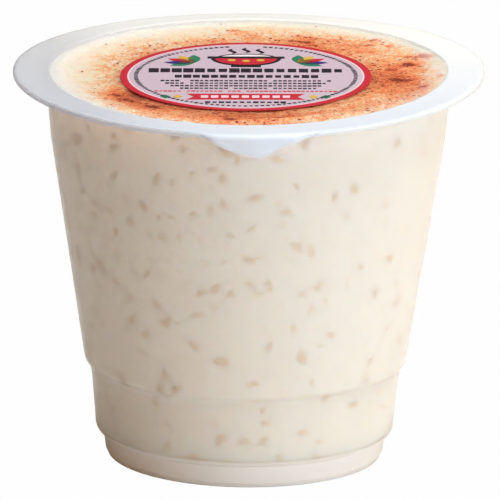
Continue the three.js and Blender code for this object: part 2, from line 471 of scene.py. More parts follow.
# Broad patches, in millimetres: middle, radius, and how much thicker or thinner it lies there.
SPICE_PATCHES = [(-21, -17, 5.0, 0.45), (-3, -31, 4.5, 0.25), (6, -31, 4.0, 0.15), (-12, -29, 3.0, -0.25),
                 (15, -27, 4.5, -0.30), (24, -20, 6.0, -0.35), (27, -3, 5.0, 0.35), (31, 8, 4.0, 0.20),
                 (25, 14, 4.0, -0.30), (22, 23, 4.0, 0.15), (10, 26, 3.5, 0.30), (-2, 32, 2.6, 0.80),
                 (4, 29, 3.0, -0.20), (-12, 27, 4.0, -0.25)]
# Damp clumps, in millimetres and degrees: middle, half length and turn.
SPICE_CLUMPS = [(32.6, 12.2, 1.6, 8), (29.8, 12.4, 0.8, 0), (30.2, 7.2, 1.7, -8), (28.0, -3.6, 1.5, -12),
                (35.6, -3.0, 0.7, 0), (32.4, -9.8, 1.2, 20), (26.5, 4.0, 0.9, 15), (8.3, 25.6, 1.0, 0),
                (10.6, 24.8, 1.3, -10), (23.2, 24.4, 0.9, 0), (22.4, 21.6, 0.8, 10), (26.0, 20.6, 0.7, 0),
                (-3.0, 32.2, 0.7, 0), (-17.6, -23.6, 1.4, -30), (-22.6, -19.0, 1.2, -45),
                (-24.4, -15.2, 0.8, 0), (-3.2, -34.0, 0.9, 0), (5.6, -32.6, 0.8, 10)]
CLUMP_SLIMNESS = 0.65             # half width over half length
CLUMP_THICKNESS, CLUMP_EVENNESS = 1.8, 0.7    # it adds less where the cinnamon lies thick already


def pudding_outline():
    side = wall_line(WALL - REACH, -90, PUDDING_TOP - 0.5 * MM)
    rim = arc(side[-1][0] - PUDDING_EDGE, PUDDING_TOP - PUDDING_EDGE, PUDDING_EDGE, 0, 90, 4)
    floor = (0, side[0][1])
    top = [(rim[-1][0] * (1 - i / TOP_RINGS), PUDDING_TOP) for i in range(1, TOP_RINGS + 1)]
    return [floor, *straight(floor, side[0], 10), *side[:-1], *rim, *top]


def strewn(x, y):
    """How thickly the cinnamon lies at places in millimetres: 1 hides the pudding, and a clump is thicker."""
    turns, strengths, reaches = zip(*STREWN)
    turn = np.degrees(np.arctan2(x, -y))
    strength = np.interp(turn, turns, strengths, period=360)
    reach = np.interp(turn, turns, reaches, period=360)
    away = np.hypot(x, y)
    left = strength / (1 + np.exp((away - reach) / THINNING))
    left = left + DUST / (1 + np.exp((away - DUST_REACH) / DUST_THINNING))
    for middle_x, middle_y, spread, more in SPICE_PATCHES:
        left = left * (1 + more * np.exp(-((x - middle_x) ** 2 + (y - middle_y) ** 2) / spread ** 2))
    for middle_x, middle_y, length, turn in SPICE_CLUMPS:
        cosine, sine = math.cos(math.radians(turn)), math.sin(math.radians(turn))
        along = ((x - middle_x) * cosine + (y - middle_y) * sine) / length
        across = ((y - middle_y) * cosine - (x - middle_x) * sine) / (CLUMP_SLIMNESS * length)
        left = left + (CLUMP_THICKNESS - CLUMP_EVENNESS * left) * np.exp(-(along ** 2 + across ** 2))
    return left


def dipping_tree():
    """Lets the pudding's top dip between its high spots."""
    tree, given = new_tree("pudding_top", Dip="Float", Level="Float", Material="Material")
    place = position(tree)
    height = split(tree, place)["Z"]
    on_top = maths(tree, "GREATER_THAN", height, maths(tree, "SUBTRACT", given["Level"], 0.1 * MM))
    hollow = remap(tree, noise(tree, place, 140, 2, 0.5), 0.35, 0.65)
    down = times(tree, hollow, given["Dip"], maths(tree, "SUBTRACT", 0, on_top))
    dipped = moved(tree, given["Geometry"], Offset=joined(tree, z=down))
    return end_tree(tree, dipped, given["Material"])


def mark_pudding(mesh):
    """Marks how thickly the cinnamon lies on the top, and the cream's painted highlight and painted glow on
    the left.
    """
    x, y, z = places(mesh)
    on_top = z > PUDDING_TOP - TOP_SKIN
    mark(mesh, spice=strewn(x / MM, y / MM) * on_top,
         pale=smoothstep(np.hypot(x, y), *HIGHLIGHT_OUT) * smoothstep(-x, *HIGHLIGHT_LEFT) * on_top,
         warm=smoothstep(z, *GLOW_UP) * smoothstep(-x, *GLOW_LEFT) * ~on_top)


def colour_ramp(tree, share, stops):
    """The colour at a share of the way along stops, each a position and a colour."""
    ramp = put(tree, "ShaderNodeValToRGB", {"Fac": share})
    elements = ramp.color_ramp.elements
    for element, (place, colour) in zip(list(elements), (stops[0], stops[-1])):
        element.position, element.color = place, (*colour, 1)
    for place, colour in stops[1:-1]:
        elements.new(place).color = (*colour, 1)
    return ramp.outputs[0]


def set_pudding():
    """Soft cream that light sinks into, mottled a little, stained orange by the spice in fine grains."""
    material, tree, where = new_material("pudding")
    spice = marked(tree, "spice")
    cream = mix_colours(tree, remap(tree, noise(tree, where, 130, 3), 0.3, 0.7), CREAM, DEEPER_CREAM)
    # Painted highlight on the top by the wall on the left, and painted glow on the side under the flange
    # there.
    cream = mix_colours(tree, marked(tree, "pale"), cream, PAINTED_HIGHLIGHT_CREAM)
    cream = mix_colours(tree, marked(tree, "warm"), cream, PAINTED_GLOW_CREAM)
    grit = maths(tree, "ADD", times(tree, noise(tree, where, 1500, 4, 0.8), 0.7),
                 times(tree, noise(tree, where, 380, 3, 0.6), 0.3))
    contrast = remap(tree, spice, 0.0, 0.3, 0.0, GRIT_CONTRAST)
    uneven = maths(tree, "SUBTRACT", grit, 0.5)
    uneven = maths(tree, "MULTIPLY_ADD", uneven, contrast, times(tree, spice, 0.82))
    stain = remap(tree, uneven, 0.0, 1.9)
    stained = colour_ramp(tree, stain, [
        (0.0, (0.82, 0.62, 0.45)), (0.16, (0.83, 0.46, 0.235)), (0.36, (0.82, 0.26, 0.10)),
        (0.54, (0.74, 0.14, 0.048)), (0.66, (0.36, 0.05, 0.02)), (1.0, (0.13, 0.025, 0.012))])
    colour = mix_colours(tree, remap(tree, stain, 0.0, 0.12), cream, stained)
    end_material(tree, principled(tree, {
        "Base Color": colour, "Roughness": 0.5, "Normal": bumps(tree, grit, 0.2, 0.08 * MM),
        "Subsurface Weight": 1.0, "Subsurface Scale": 9.0 * MM, "Subsurface Radius": (1.0, 0.6, 0.35)}))
    return material


PUDDING_FINISH = set_pudding()
plain = turned("pudding_plain", pudding_outline(), PUDDING_FINISH, TOP_STEPS)
pudding = grown("pudding_mass", plain.data, dipping_tree(), Dip=TOP_DIP, Level=PUDDING_TOP,
                Material=PUDDING_FINISH)
bpy.data.objects.remove(plain)
pudding.data.shade_smooth()
mark_pudding(pudding.data)
plain_top = bpy.data.objects.new("pudding_before_lean", pudding.data.copy())
out_of_true(pudding.data, FLANGE_RADIUS)
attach(pudding, "root")
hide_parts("pudding")


# --- Rice grains -----------------------------------------------------------------------------------
# Cooked rice all through the pudding. Where a grain lies against the wall it shows through the plastic as
# a soft tan spot, stronger the harder it presses: its colour fades to cream where it sinks away.
GRAIN_LENGTH = 5.0 * MM
GRAIN_WIDTH = 2.1 * MM
GRAIN_CURVE = 0.35 * MM           # how far its ends bow in
GRAIN_SPACING = 2.3 * MM
GRAIN_DEPTH = 0.54 * MM, 0.88 * MM    # of its middle under the pudding's face
GRAIN_PRESSED = 0.2 * MM          # it stands out of the pudding by no more than this, against the wall
GRAIN_TOP = 71 * MM               # no grain lies over this height
GRAIN_SIZES = 0.70, 0.96          # shares of the full size
GRAIN_TILT = 0.12, 0.55           # at most, in radians, about their length and out of the pudding's face
GRAINS_A_SQUARE_METRE = 1.0e5     # at most; the spacing leaves fewer
PRESS_SOFTNESS = 0.1 * MM
SPARSER, SPARSEST = (-26 * MM, 30 * MM), 0.35     # they get fewer between these places, down to this share
TAN, DULL_TAN, LEFT_TAN = (0.78, 0.46, 0.14, 1), (0.64, 0.42, 0.19, 1), (0.54, 0.34, 0.15, 1)
LEFTWARDS = 4 * MM, -34 * MM      # they get browner between these places
CREAMIEST = 8 * MM, -34 * MM, 42 * MM     # here, at the front, most cream lies between grains and wall
CREAMY_REACH = 8 * MM, 24 * MM
GRAIN_STRENGTH = 0.45, 0.8        # how strong the tan shows there, and elsewhere


def chance(tree, low, high, seed):
    """A number at random for each point."""
    return put(tree, "FunctionNodeRandomValue", {2: low, 3: high, "Seed": seed}).outputs[1]


def chance_turn(tree, tilt_x, tilt_y, seed):
    """Any turn about a point's own axis, tilted from it by no more than this, in radians."""
    ends = {0: (-tilt_x, -tilt_y, 0.0), 1: (tilt_x, tilt_y, 2 * math.pi), "Seed": seed}
    return put(tree, "FunctionNodeRandomValue", ends, data_type="FLOAT_VECTOR").outputs[0]


def copies(tree, points, shape, turn, size):
    """A turned and scaled copy of a shape on every point."""
    settings = {"Points": points, "Instance": shape, "Rotation": turn, "Scale": size}
    return put(tree, "GeometryNodeInstanceOnPoints", settings).outputs[0]


def stored(tree, geometry, name, value, domain="POINT"):
    settings = {"Geometry": geometry, "Name": name, "Value": value}
    return put(tree, "GeometryNodeStoreNamedAttribute", settings, data_type="FLOAT", domain=domain).outputs[0]


def one_grain(tree, given):
    """A ball drawn out, tapered to its ends and bent a little."""
    ball = put(tree, "GeometryNodeMeshUVSphere", {"Segments": 12, "Rings": 10, "Radius": 0.5}).outputs[0]
    x, y, z = split(tree, position(tree))
    across = times(tree, given["Width"], maths(tree, "SUBTRACT", 1.0, times(tree, x, x, 0.7)))
    bow = times(tree, x, x, 4.0, given["Curve"])
    shape = joined(tree, times(tree, x, given["Length"]), times(tree, y, across),
                   maths(tree, "SUBTRACT", times(tree, z, across), bow))
    return moved(tree, ball, Position=shape)


def pressed_in(tree, grains, face, limit):
    """Lets grains stand out of a face by no more than a limit, and marks how far each point does."""
    place = position(tree)
    nearest = put(tree, "GeometryNodeProximity", {0: face, "Source Position": place}, target_element="FACES")
    normal = put(tree, "GeometryNodeInputNormal").outputs[0]
    outwards = put(tree, "GeometryNodeSampleNearestSurface", {
        "Mesh": face, "Sample Position": place, "Value": normal}, data_type="FLOAT_VECTOR").outputs[0]
    gap = vector_maths(tree, "SUBTRACT", place, nearest.outputs["Position"])
    proud = vector_maths(tree, "DOT_PRODUCT", gap, outwards, output="Value")
    kept = maths(tree, "SMOOTH_MIN", proud, limit, PRESS_SOFTNESS)
    back = scaled(tree, outwards, maths(tree, "SUBTRACT", kept, proud))
    grains = stored(tree, grains, "proud", maths(tree, "DIVIDE", kept, limit))
    return moved(tree, grains, Offset=back)


def grain_tree():
    """Lays bent, tapered grains just under the pudding's sides."""
    tree, given = new_tree("sunken_grains", Length="Float", Width="Float", Curve="Float", Spacing="Float",
                           Shallow="Float", Deep="Float", Pressed="Float", Seed="Int", Material="Material")
    face = given["Geometry"]
    up_down = split(tree, put(tree, "GeometryNodeInputNormal").outputs[0])["Z"]
    x, _, z = split(tree, position(tree))
    side = maths(tree, "LESS_THAN", maths(tree, "ABSOLUTE", up_down), 0.8)
    side = times(tree, side, maths(tree, "LESS_THAN", z, GRAIN_TOP))
    spots = put(tree, "GeometryNodeDistributePointsOnFaces", {
        "Mesh": face, "Selection": side, "Distance Min": given["Spacing"], "Seed": given["Seed"],
        "Density Max": GRAINS_A_SQUARE_METRE, "Density Factor": remap(tree, x, *SPARSER, 1.0, SPARSEST)},
        distribute_method="POISSON").outputs
    depth = chance(tree, given["Shallow"], given["Deep"], 11)
    inwards = scaled(tree, spots["Normal"], times(tree, depth, -1))
    sunk = moved(tree, spots["Points"], Offset=inwards)
    turn = put(tree, "FunctionNodeRotateRotation", {
        0: spots["Rotation"], 1: chance_turn(tree, *GRAIN_TILT, 5)}, rotation_space="LOCAL").outputs[0]
    grains = copies(tree, sunk, one_grain(tree, given), turn, chance(tree, *GRAIN_SIZES, 23))
    real = put(tree, "GeometryNodeRealizeInstances", {"Geometry": grains}).outputs[0]
    return end_tree(tree, pressed_in(tree, real, face, given["Pressed"]), given["Material"])


def cooked_rice():
    """Swollen soft grain, tan where it lies against the wall, fading into the pudding round it."""
    material, tree, where = new_material("cooked_rice")
    tan = mix_colours(tree, remap(tree, noise(tree, where, 90, 2), 0.35, 0.65), TAN, DULL_TAN)
    to_left = remap(tree, split(tree, where)["X"], *LEFTWARDS)
    tan = mix_colours(tree, to_left, tan, LEFT_TAN)
    away = vector_maths(tree, "DISTANCE", where, CREAMIEST, output="Value")
    strongest = remap(tree, away, *CREAMY_REACH, *GRAIN_STRENGTH)
    share = remap(tree, marked(tree, "proud"), 0.0, 0.9, 0.0, strongest, "SMOOTHSTEP")
    face = principled(tree, {"Base Color": tan, "Roughness": 0.5})
    end_material(tree, mix_shaders(tree, share, transparent(tree), face))
    return material


grains = grown("rice_grains", pudding.data.copy(), grain_tree(), Length=GRAIN_LENGTH, Width=GRAIN_WIDTH,
               Curve=GRAIN_CURVE, Spacing=GRAIN_SPACING, Shallow=GRAIN_DEPTH[0], Deep=GRAIN_DEPTH[1],
               Pressed=GRAIN_PRESSED, Seed=4, Material=cooked_rice())
faces_out(grains.data)
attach(grains, "root")


# --- Cinnamon --------------------------------------------------------------------------------------
# Ground cinnamon strewn on the pudding before the film was sealed: fine powder and some coarse flakes,
# pressed into the top by the film, thick in patches and nearly none elsewhere.
FLAKES_A_SQUARE_METRE = 5.0e6
SMALL_FLAKE, LARGE_FLAKE = 0.11 * MM, 0.52 * MM       # half their length
FLAKE_WIDTH, FLAKE_FLATNESS = 0.66, 0.13              # shares of its length
FLAKE_LIMIT = PUDDING_TOP + 0.02 * MM
CLUMPED = 0.95, 1.3               # how thickly it lies where damp starts to darken it and where it is darkest
CROWDING = 1.3                    # power of the spice's thickness that the number of flakes follows
LARGE_RARITY, DARK_RARITY = 9, 7  # powers of chance: the higher, the fewer large and dark ones
FLAKE_TILT = 0.15                 # at most, in radians


def flake_tree():
    """Strews flat flakes on the pudding by its attribute spice, most of them tiny and a few large."""
    tree, given = new_tree("strewn_flakes", Density="Float", Small="Float", Large="Float", Width="Float",
                           Flatness="Float", Limit="Float", Seed="Int", Material="Material")
    spice = put(tree, "GeometryNodeInputNamedAttribute", {"Name": "spice"}, data_type="FLOAT").outputs[0]
    density = times(tree, maths(tree, "POWER", spice, CROWDING), given["Density"])
    spots = put(tree, "GeometryNodeDistributePointsOnFaces", {
        "Mesh": given["Geometry"], "Density": density, "Seed": given["Seed"]}).outputs["Points"]
    bit = put(tree, "GeometryNodeMeshUVSphere", {"Segments": 5, "Rings": 2, "Radius": 1.0}).outputs[0]
    flatness = joined(tree, 1.0, given["Width"], given["Flatness"])
    flake = moved(tree, bit, Position=vector_maths(tree, "MULTIPLY", position(tree), flatness))
    luck = chance(tree, 0.0, 1.0, 3)
    size = remap(tree, maths(tree, "POWER", luck, LARGE_RARITY), 0.0, 1.0, given["Small"], given["Large"])
    flakes = copies(tree, spots, flake, chance_turn(tree, FLAKE_TILT, FLAKE_TILT, 9), size)
    small = maths(tree, "SUBTRACT", 1.0, maths(tree, "POWER", luck, DARK_RARITY))
    dry = remap(tree, spice, *CLUMPED, 1.0, 0.08)
    shade = times(tree, maths(tree, "POWER", chance(tree, 0.0, 1.0, 17), 0.45), small, dry)
    shaded = stored(tree, flakes, "shade", shade, "INSTANCE")
    real = put(tree, "GeometryNodeRealizeInstances", {"Geometry": shaded}).outputs[0]
    x, y, z = split(tree, position(tree))
    under_film = joined(tree, x, y, maths(tree, "MINIMUM", z, given["Limit"]))
    return end_tree(tree, moved(tree, real, Position=under_film), given["Material"])


def ground_cinnamon():
    """Dry bark dust, from orange brown to dark brown, each flake its own shade."""
    material, tree, where = new_material("ground_cinnamon")
    colour = colour_ramp(tree, marked(tree, "shade"), [
        (0.0, (0.20, 0.03, 0.012)), (0.2, (0.54, 0.08, 0.026)), (0.5, (0.84, 0.18, 0.058)),
        (1.0, (0.90, 0.42, 0.19))])
    bump = bumps(tree, noise(tree, where, 6000), 0.5, 0.03 * MM)
    end_material(tree, principled(tree, {"Base Color": colour, "Roughness": 0.85, "Normal": bump}))
    return material


cinnamon = grown("cinnamon", plain_top.data, flake_tree(), Density=FLAKES_A_SQUARE_METRE, Small=SMALL_FLAKE,
                 Large=LARGE_FLAKE, Width=FLAKE_WIDTH, Flatness=FLAKE_FLATNESS, Limit=FLAKE_LIMIT, Seed=8,
                 Material=ground_cinnamon())
bpy.data.objects.remove(plain_top)
faces_out(cinnamon.data)
cinnamon.data.shade_flat()
out_of_true(cinnamon.data, FLANGE_RADIUS)
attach(cinnamon, "root")


# --- Film lid --------------------------------------------------------------------------------------
# Clear film, heat sealed round the flange and drawn down onto the pudding, with pleats where it steps
# down. Sealing turned it milky on the flange. Its pull tab is folded down over the front edge.
FILM = 0.1 * MM
FILM_TOUCH = 0.03 * MM            # it lies this far over the pudding and the flange
FILM_INNER, FILM_OUTER = 35.8 * MM, 37.6 * MM     # it falls between these radii
FILM_RADIUS = FLANGE_RADIUS - 0.3 * MM
FILM_STEPS = 256
PLEATS, PLEATS_REACH = 0.025 * MM, 1.1 * MM
SEAL_MILK = 0.28, 0.85            # from clear, 0, to white, 1; sealed milk, least on the left and most on the right as painted light
SEAL_PAINTED_LIGHT = -36 * MM, -5 * MM
SEAL_START = 36.8 * MM, 37.5 * MM
DRAWN_MILK = 0.22                 # where it was drawn up to the flange, between these radii
DRAWN_START = 32 * MM, 36.5 * MM
# The tab's lower edge from left to right, as (x, z) in millimetres.
TAB_EDGE = [(-12.0, 73.72), (-9.5, 73.45), (-7.4, 72.7), (-4.1, 71.0), (0.6, 69.1), (1.8, 68.7),
            (3.0, 69.2), (6.5, 71.4), (10.2, 72.7), (14.9, 73.45), (18.0, 73.72)]
TAB_BEND = 1.0 * MM               # of its fold, where it hangs lowest
TAB_LEAN = 0.035                  # towards the wall, as a slope
TAB_RIPPLE = 0.12 * MM
TAB_COLUMNS, TAB_ROWS = 80, 26
TAB_MILK, TIP_MILK = 0.8, 0.5
TIP = 3.0 * MM, 5.2 * MM          # how far down the tab gets clearer
TAB_BORDER = 0.9 * MM             # its edge is the milkiest


def film_height(radius):
    """The film's underside: flat on the pudding, a soft step up, flat on the flange."""
    low, high = PUDDING_TOP + FILM_TOUCH, FLANGE_TOP + FILM_TOUCH
    return low + (high - low) * float(smoothstep(radius, FILM_INNER, FILM_OUTER))


def film_outline():
    radii = [FILM_INNER * i / 40 for i in range(40)]
    radii += [FILM_INNER + (FILM_OUTER - FILM_INNER) * i / 14 for i in range(15)]
    radii += [FILM_OUTER + (FILM_RADIUS - FILM_OUTER) * i / 12 for i in range(1, 13)]
    under = [(r, film_height(r)) for r in radii]
    over = [(r, z + FILM) for r, z in reversed(under)]
    return under + [(FILM_RADIUS + FILM / 2, under[-1][1])] + over


def pleat_film(mesh):
    """Fine uneven pleats round the step, and the film's milk: clear inside, milky where sealed, whiter right
    as painted light.
    """
    x, y, z = places(mesh)
    radius, turn = np.hypot(x, y), np.arctan2(y, x)
    step = np.exp(-((radius - FILM_OUTER) / PLEATS_REACH) ** 2)
    ripple = np.sin(43 * turn + 2 * np.sin(5 * turn)) + 0.6 * np.sin(71 * turn + 3 * np.sin(3 * turn))
    set_places(mesh, x, y, z + PLEATS * step * (1.2 + ripple))
    painted_light_to_right = smoothstep(rightwards(x, y), *SEAL_PAINTED_LIGHT)
    milk = SEAL_MILK[0] + (SEAL_MILK[1] - SEAL_MILK[0]) * painted_light_to_right
    to_front = np.maximum(-y / np.maximum(radius, MM), 0)
    drawn = DRAWN_MILK * smoothstep(radius, *DRAWN_START) * (1 - to_front)
    mark(mesh, milky=drawn + (milk - drawn) * smoothstep(radius, *SEAL_START))


def tab_mesh():
    """A tongue of the film that leaves its edge, turns down over the flange and ends in a soft point."""
    xs, zs = zip(*TAB_EDGE)
    top = FLANGE_TOP + FILM_TOUCH + FILM / 2
    start = FILM_RADIUS - FILM
    work = bmesh.new()
    milky = work.verts.layers.float.new("milky")
    columns = []
    for i in range(TAB_COLUMNS + 1):
        x = (xs[0] + (xs[-1] - xs[0]) * i / TAB_COLUMNS) * MM
        low = sum(np.interp(x / MM + k * 0.35, xs, zs) for k in (-2, -1, 0, 1, 2)) / 5 * MM
        hang = top - low
        bend = min(TAB_BEND, 0.6 * hang)
        bent = bend * math.pi / 2
        length = bent + hang - bend
        column = []
        for j in range(TAB_ROWS + 1):
            run = length * j / TAB_ROWS
            if run < bent:
                radius, z = start + bend * math.sin(run / bend), top - bend + bend * math.cos(run / bend)
            else:
                radius, z = start + bend - TAB_LEAN * (run - bent), top - bend - (run - bent)
            radius += TAB_RIPPLE * math.sin(x / MM * 0.9) * (j / TAB_ROWS) ** 2 * min(1, hang / MM)
            vertex = work.verts.new((x, -math.sqrt(radius ** 2 - x ** 2), z))
            thin = float(smoothstep(top - z, *TIP))
            near_edge = float(smoothstep(length - run, 0, TAB_BORDER))
            vertex[milky] = (TAB_MILK - (TAB_MILK - TIP_MILK) * thin) * (0.55 + 0.45 * near_edge)
            column.append(vertex)
        columns.append(column)
    for left, right in zip(columns, columns[1:]):
        for j in range(TAB_ROWS):
            work.faces.new((left[j], left[j + 1], right[j + 1], right[j]))
    mesh = bpy.data.meshes.new("pull_tab")
    work.to_mesh(mesh)
    work.free()
    return mesh


def clear_film():
    """Glossy clear film with faint ripples, turned milky by heat where it is sealed and folded."""
    material, tree, where = new_material("clear_film")
    ripple = maths(tree, "ADD", noise(tree, where, 70, 2), times(tree, noise(tree, where, 420, 2), 0.25))
    bump = bumps(tree, ripple, 0.35, 0.25 * MM)
    mirror = principled(tree, {"Base Color": (1, 1, 1, 1), "Metallic": 1.0, "Roughness": 0.12,
                               "Normal": bump})
    shine = maths(tree, "MULTIPLY_ADD", maths(tree, "POWER", edge_on(tree, bump), 5), 0.16, 0.015)
    film = mix_shaders(tree, shine, transparent(tree), mirror)
    # Painted shade and light: the sealed milk is greyer and bluer at the front and whiter at the back.
    painted_light_to_back = remap(tree, split(tree, where)["Y"], -30 * MM, 30 * MM)
    milk = mix_colours(tree, painted_light_to_back, (0.80, 0.83, 0.90, 1), (0.98, 0.98, 0.98, 1))
    face = principled(tree, {"Base Color": milk, "Roughness": 0.3, "Specular IOR Level": 0.2, "Normal": bump})
    through = put(tree, "ShaderNodeBsdfTranslucent", {"Color": milk}).outputs[0]
    sealed = mix_shaders(tree, 0.2, face, through)
    end_material(tree, mix_shaders(tree, marked(tree, "milky"), film, sealed))
    return material


FILM_FINISH = clear_film()
film = turned("film_lid_clear", film_outline(), FILM_FINISH, FILM_STEPS)
pleat_film(film.data)
tab = bpy.data.objects.new("tab", tab_mesh())
tab.data.materials.append(FILM_FINISH)
bpy.context.collection.objects.link(tab)
thicken = tab.modifiers.new("film", "SOLIDIFY")
thicken.thickness, thicken.offset = FILM, 0
with bpy.context.temp_override(active_object=tab, object=tab, selected_objects=[tab]):
    bpy.ops.object.modifier_apply(modifier="film")
faces_out(tab.data)
with bpy.context.temp_override(active_object=film, object=film, selected_editable_objects=[film, tab]):
    bpy.ops.object.join()
out_of_true(film.data, FILM_OUTER)
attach(film, "root")
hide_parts("film_lid")


# --- Label -----------------------------------------------------------------------------------------
# A thin paper label stuck on the film: a red border, a pale line and a lilac field, printed with a bowl
# between sprigs, rows of plain blocks and a ribbon. None of it is lettering or a maker's sign.
label_low, label_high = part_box("label")
LABEL_MIDDLE = (label_low + label_high) / 2
LABEL_HALF = (label_high - label_low) / 2
LABEL_RADIUS = LABEL_HALF.x
LABEL_STRETCH = LABEL_HALF.y / LABEL_HALF.x       # it is a little deeper than wide
LABEL_EDGE = 0.03 * MM            # bevel of its upper edge
LABEL_STEPS = 192
BORDER = 1.35 * MM
PALE_LINE = 0.32 * MM
INK = 0.03 * MM                   # how far the print stands on the paper
INK_COLOURS = {
    "lilac_paper": (0.50, 0.39, 0.46, 1),
    "red_ink": (0.46, 0.014, 0.028, 1),
    "pale_ink": (0.72, 0.52, 0.58, 1),
    "black_ink": (0.012, 0.006, 0.014, 1),
    "white_ink": (0.72, 0.64, 0.69, 1),
    "green_ink": (0.02, 0.16, 0.09, 1),
    "yellow_ink": (0.58, 0.36, 0.05, 1),
    "indigo_ink": (0.035, 0.02, 0.17, 1),
}


def ink(name):
    """Printed paper: satin, with the slightest mottle of ink on fibre."""
    material, tree, where = new_material(name)
    colour = INK_COLOURS[name]
    worn = tuple(0.85 * c + 0.05 for c in colour[:3]) + (1,)
    mottle = remap(tree, noise(tree, where, 1500, 3), 0.0, 1.0, 0.0, 0.3)
    end_material(tree, principled(tree, {
        "Base Color": mix_colours(tree, mottle, colour, worn), "Roughness": 0.55, "Specular IOR Level": 0.25,
        "Normal": bumps(tree, noise(tree, where, 900, 4), 0.15, 0.02 * MM)}))
    return material


INKS = {name: ink(name) for name in INK_COLOURS}
INK_NUMBERS = {name: number for number, name in enumerate(INKS)}


def on_label(u, v):
    """A place on the label, from millimetres right of and above its middle as it is read."""
    return LABEL_MIDDLE.x + u * MM, LABEL_MIDDLE.y + v * MM * LABEL_STRETCH


def label_disc(work):
    """The paper with its field, pale line and border as rings of one sheet."""
    top, low = label_high.z, label_low.z
    turns = [2 * math.pi * i / LABEL_STEPS for i in range(LABEL_STEPS)]
    middle = LABEL_MIDDLE.xy
    edges = [(1 - (BORDER + PALE_LINE) / LABEL_RADIUS, top), (1 - BORDER / LABEL_RADIUS, top), (0.997, top),
             (1.0, top - LABEL_EDGE), (1.0, low)]
    rings = [[work.verts.new((middle.x + LABEL_HALF.x * scale * math.cos(t),
                              middle.y + LABEL_HALF.y * scale * math.sin(t), z)) for t in turns]
             for scale, z in edges]
    centre = work.verts.new((*middle, top))
    under = work.verts.new((*middle, low))
    for i in range(LABEL_STEPS):
        j = (i + 1) % LABEL_STEPS
        work.faces.new((centre, rings[0][i], rings[0][j])).material_index = INK_NUMBERS["lilac_paper"]
        for inner, outer, name in zip(rings, rings[1:], ["pale_ink", "red_ink", "red_ink", "red_ink"]):
            work.faces.new((inner[i], outer[i], outer[j], inner[j])).material_index = INK_NUMBERS[name]
        work.faces.new((under, rings[-1][j], rings[-1][i])).material_index = INK_NUMBERS["lilac_paper"]


def print_shape(work, points, name, lift=1.0):
    """A flat printed shape, its outline in the label's own millimetres. lift sets one ink over another."""
    low, top = label_high.z - 0.02 * MM, label_high.z + INK * lift
    lower = [work.verts.new((*on_label(u, v), low)) for u, v in points]
    upper = [work.verts.new((*on_label(u, v), top)) for u, v in points]
    count = len(points)
    faces = [work.faces.new(upper), work.faces.new(lower[::-1])]
    faces += [work.faces.new((lower[i], lower[(i + 1) % count], upper[(i + 1) % count], upper[i]))
              for i in range(count)]
    for face in faces:
        face.material_index = INK_NUMBERS[name]


def oval(u, v, half_width, half_height, start=0, end=360, steps=28):
    """Points of an oval or of a part of one, angles in degrees."""
    turns = [math.radians(start + (end - start) * i / steps) for i in range(steps + (end - start != 360))]
    return [(u + half_width * math.cos(t), v + half_height * math.sin(t)) for t in turns]


def leaf(u, v, length, width, turn):
    """A pointed leaf from its stalk at (u, v)."""
    c, s = math.cos(math.radians(turn)), math.sin(math.radians(turn))
    side = [(length * i / 10, width * math.sin(math.pi * i / 10)) for i in range(11)]
    outline = side + [(x, -y) for x, y in side[-2:0:-1]]
    return [(u + x * c - y * s, v + x * s + y * c) for x, y in outline]


def box_points(u, v, width, height):
    return [(u, v), (u + width, v), (u + width, v + height), (u, v + height)]


def wisp(u, v, height, width, swing):
    """A rising wisp: a strip that sways once to either side and narrows to its ends."""
    left, right = [], []
    for i in range(17):
        t = i / 16
        middle = u + swing * math.sin(2 * math.pi * t)
        half = width / 2 * (0.25 + math.sin(math.pi * t))
        left.append((middle - half, v + height * t))
        right.append((middle + half, v + height * t))
    return right + left[::-1]


def print_bowl(work, u, v):
    """A heaped bowl on its foot, with three wisps of steam."""
    print_shape(work, oval(u, v + 0.4, 5.6, 2.7, 0, 180), "black_ink", 1.0)
    print_shape(work, oval(u, v + 0.4, 5.0, 2.1, 0, 180), "white_ink", 1.5)
    print_shape(work, oval(u, v, 6.6, 5.4, 180, 360), "black_ink", 1.5)
    print_shape(work, oval(u, v - 0.3, 5.8, 4.3, 180, 360), "red_ink", 2.0)
    print_shape(work, box_points(u - 7.2, v - 0.2, 14.4, 1.3), "black_ink", 2.0)
    print_shape(work, box_points(u - 2.8, v - 6.2, 5.6, 1.2), "black_ink", 1.5)
    for side in (-1, 0, 1):
        print_shape(work, oval(u + 2.7 * side, v - 2.0 + 0.5 * abs(side), 0.75, 0.7), "yellow_ink", 2.5)
        print_shape(work, wisp(u + 2.6 * side, v + 3.8 - 0.7 * abs(side), 3.4, 0.8, 0.45), "black_ink", 1.0)


def print_sprig(work, side):
    """A fan of pointed leaves beside the bowl, on the left, -1, or on the right, 1."""
    for turn, length, name in ((88, 5.4, "green_ink"), (58, 5.6, "yellow_ink"), (30, 5.8, "red_ink"),
                               (2, 5.8, "indigo_ink"), (-24, 5.0, "green_ink")):
        facing = 90 + (turn - 90) * side
        print_shape(work, leaf(9.6 * side, 9.2, length, 1.15, facing), name, 1.2)


def print_ribbon(work, v):
    """A forked ribbon with a pale line of dashes, between rhombs."""
    ends = [(-11.0, v - 2.0), (11.0, v - 2.0), (9.6, v), (11.0, v + 2.0), (-11.0, v + 2.0), (-9.6, v)]
    print_shape(work, ends, "red_ink")
    for i in range(9):
        print_shape(work, box_points(-8.3 + 1.9 * i, v - 0.8, 1.35, 1.6), "pale_ink", 1.5)
    for side in (-1, 1):
        for away, name in ((12.6, "yellow_ink"), (14.9, "green_ink")):
            u = side * away
            print_shape(work, [(u - 0.95, v), (u, v - 1.3), (u + 0.95, v), (u, v + 1.3)], name)


